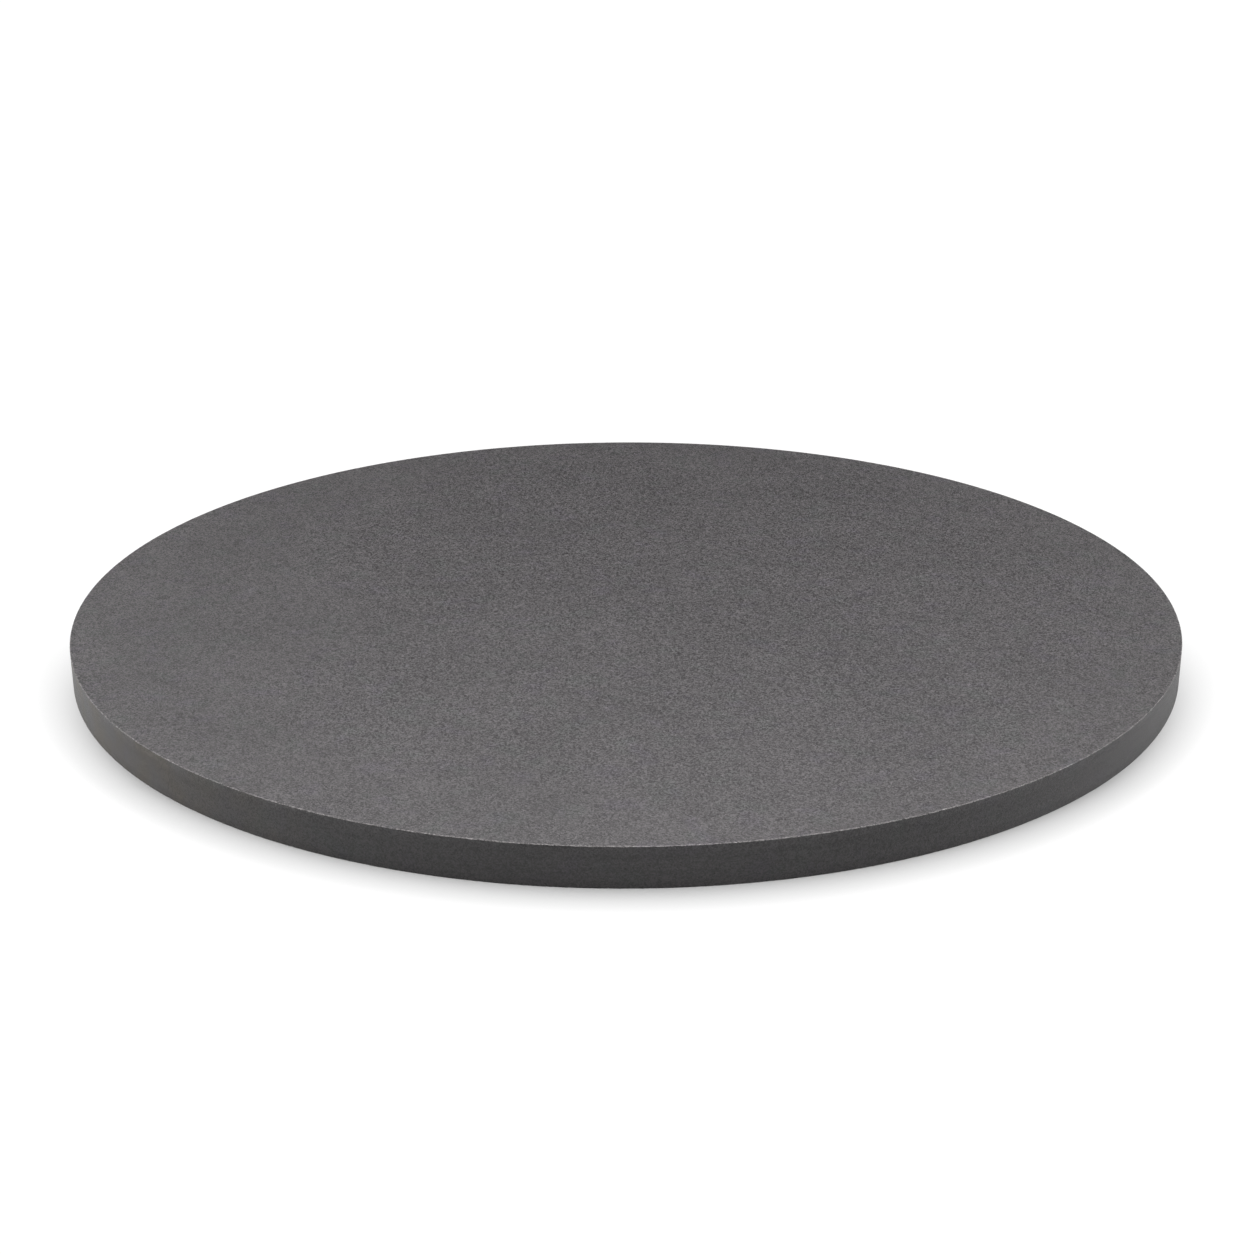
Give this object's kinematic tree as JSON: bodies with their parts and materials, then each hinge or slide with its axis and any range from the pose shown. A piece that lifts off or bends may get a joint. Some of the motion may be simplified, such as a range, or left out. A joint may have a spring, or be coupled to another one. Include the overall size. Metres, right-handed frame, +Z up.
{
  "type": "basalt massage stone",
  "caption": "Thin flat round disc of honed dark grey basalt with a straight ground rim and small eased edges, laid flat to hold and give off heat.",
  "frame": {"origin": "centre of the flat lower face, which is the face the disc lies on", "axes": "+Z up through the disc's centre, towards the honed face; +X to the right and +Y away in the view the part was made from"},
  "size_m": [0.3, 0.3, 0.01],
  "materials": {
    "honed_basalt": "honed, unsealed, fine grained dark grey"
  },
  "bodies": {
    "root": {"basalt_disc": "honed_basalt"}
  },
  "joints": []
}
